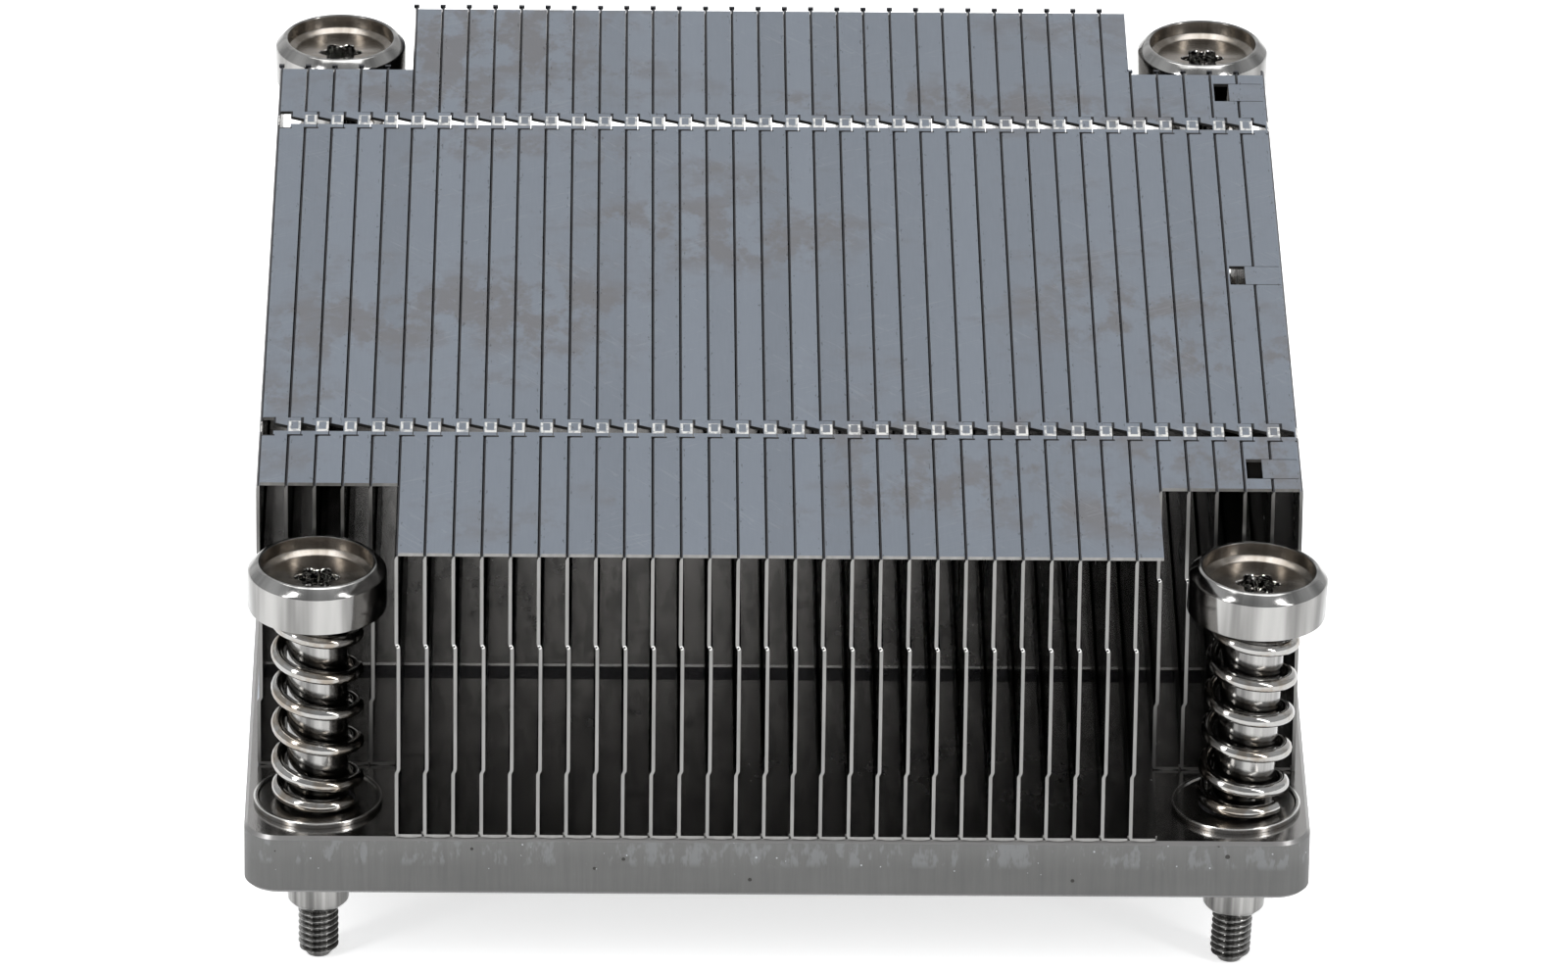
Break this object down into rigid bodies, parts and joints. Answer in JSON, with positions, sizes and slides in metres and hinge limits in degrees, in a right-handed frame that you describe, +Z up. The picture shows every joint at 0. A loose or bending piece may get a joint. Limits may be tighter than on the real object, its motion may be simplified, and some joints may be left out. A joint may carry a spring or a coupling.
{
  "type": "passive server cpu heatsink",
  "caption": "Passive heat sink: thick base plate, a zipped stack of folded sheet fins, an end plate, and captive spring screws in the corners.",
  "frame": {"origin": "middle of the base plate's underside, the face that meets the processor", "axes": "X across the fins, Y along the air channels from front to rear, Z up out of the base"},
  "size_m": [0.0785, 0.0973, 0.0353],
  "materials": {
    "base": "nickel plated, satin sides and polished top",
    "fin": "nickel plated sheet, satin, slightly stained",
    "screw": "bright nickel",
    "spring": "bright nickel wire",
    "washer": "bright nickel",
    "ring": "spring steel"
  },
  "bodies": {
    "sink": {"base_plate": "base", "fin_01": "fin", "fin_02": "fin", "fin_03": "fin", "fin_04": "fin", "fin_05": "fin", "fin_06": "fin", "fin_07": "fin", "fin_08": "fin", "fin_09": "fin", "fin_10": "fin", "fin_11": "fin", "fin_12": "fin", "fin_13": "fin", "fin_14": "fin", "fin_15": "fin", "fin_16": "fin", "fin_17": "fin", "fin_18": "fin", "fin_19": "fin", "fin_20": "fin", "fin_21": "fin", "fin_22": "fin", "fin_23": "fin", "fin_24": "fin", "fin_25": "fin", "fin_26": "fin", "fin_27": "fin", "fin_28": "fin", "fin_29": "fin", "fin_30": "fin", "fin_31": "fin", "fin_32": "fin", "fin_33": "fin", "fin_34": "fin", "fin_35": "fin", "fin_36": "fin", "fin_37": "fin", "end_plate": "fin", "washer_front_left": "washer", "washer_front_right": "washer", "washer_rear_left": "washer", "washer_rear_right": "washer", "spring_front_left": "spring", "spring_front_right": "spring", "spring_rear_left": "spring", "spring_rear_right": "spring"},
    "slider_front_left": {"retaining_ring_front_left": "ring"},
    "driver_front_left": {"screw_front_left": "screw"},
    "slider_front_right": {"retaining_ring_front_right": "ring"},
    "driver_front_right": {"screw_front_right": "screw"},
    "slider_rear_left": {"retaining_ring_rear_left": "ring"},
    "driver_rear_left": {"screw_rear_left": "screw"},
    "slider_rear_right": {"retaining_ring_rear_right": "ring"},
    "driver_rear_right": {"screw_rear_right": "screw"}
  },
  "joints": [
    {"name": "press_front_left", "type": "slide", "parent": "sink", "child": "slider_front_left", "axis": [0, 0, 1], "range_m": [-0.006, 0.0034], "stiffness_N_per_m": 3000, "deforming": ["spring_front_left"]},
    {"name": "turn_front_left", "type": "hinge", "parent": "slider_front_left", "child": "driver_front_left", "pos_m": [-0.0335, -0.0425, -0.004], "axis": [0, 0, 1], "continuous": true},
    {"name": "press_front_right", "type": "slide", "parent": "sink", "child": "slider_front_right", "axis": [0.0436, 0, 0.999], "range_m": [-0.006, 0.0032], "stiffness_N_per_m": 3000, "deforming": ["spring_front_right"]},
    {"name": "turn_front_right", "type": "hinge", "parent": "slider_front_right", "child": "driver_front_right", "pos_m": [0.0335, -0.0425, -0.004], "axis": [0.0436, 0, 0.999], "continuous": true},
    {"name": "press_rear_left", "type": "slide", "parent": "sink", "child": "slider_rear_left", "axis": [0, 0, 1], "range_m": [-0.0094, 0], "stiffness_N_per_m": 3000, "deforming": ["spring_rear_left"]},
    {"name": "turn_rear_left", "type": "hinge", "parent": "slider_rear_left", "child": "driver_rear_left", "pos_m": [-0.0335, 0.0425, -0.004], "axis": [0, 0, 1], "continuous": true},
    {"name": "press_rear_right", "type": "slide", "parent": "sink", "child": "slider_rear_right", "axis": [0, 0, 1], "range_m": [-0.0094, 0], "stiffness_N_per_m": 3000, "deforming": ["spring_rear_right"]},
    {"name": "turn_rear_right", "type": "hinge", "parent": "slider_rear_right", "child": "driver_rear_right", "pos_m": [0.0335, 0.0425, -0.004], "axis": [0, 0, 1], "continuous": true}
  ]
}
